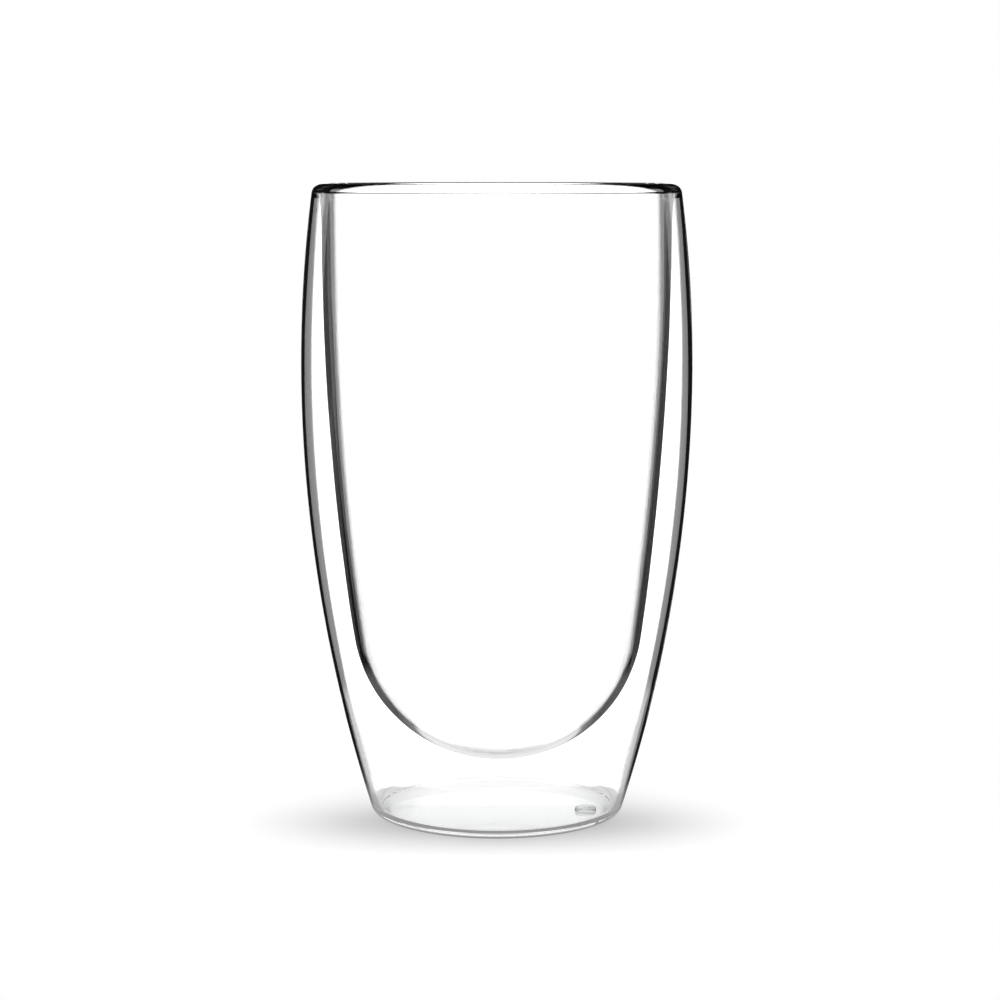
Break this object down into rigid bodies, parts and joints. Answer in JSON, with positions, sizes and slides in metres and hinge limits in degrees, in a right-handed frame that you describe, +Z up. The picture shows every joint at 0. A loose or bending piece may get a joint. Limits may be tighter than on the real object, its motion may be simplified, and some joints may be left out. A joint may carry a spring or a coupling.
{
  "type": "double walled glass cup",
  "caption": "Clear double walled glass cup: a barrel shaped outer shell with a round bottomed liner hung inside it from a fused rim, and a vent plug in the floor.",
  "frame": {"origin": "centre of the resting ring under the base, on the table surface", "axes": "+Z up along the cup's axis of revolution; the vent hole in the base lies towards +X, 19 degrees towards -Y"},
  "size_m": [0.0894, 0.0894, 0.145],
  "materials": {
    "shell_glass": "clear, fire polished",
    "liner_glass": "clear, fire polished",
    "rim_glass": "clear, flame fused",
    "plug_silicone": "translucent silicone, satin"
  },
  "bodies": {
    "root": {"outer_shell": "shell_glass", "inner_liner": "liner_glass", "rim_weld": "rim_glass", "vent_plug": "plug_silicone"}
  },
  "joints": []
}
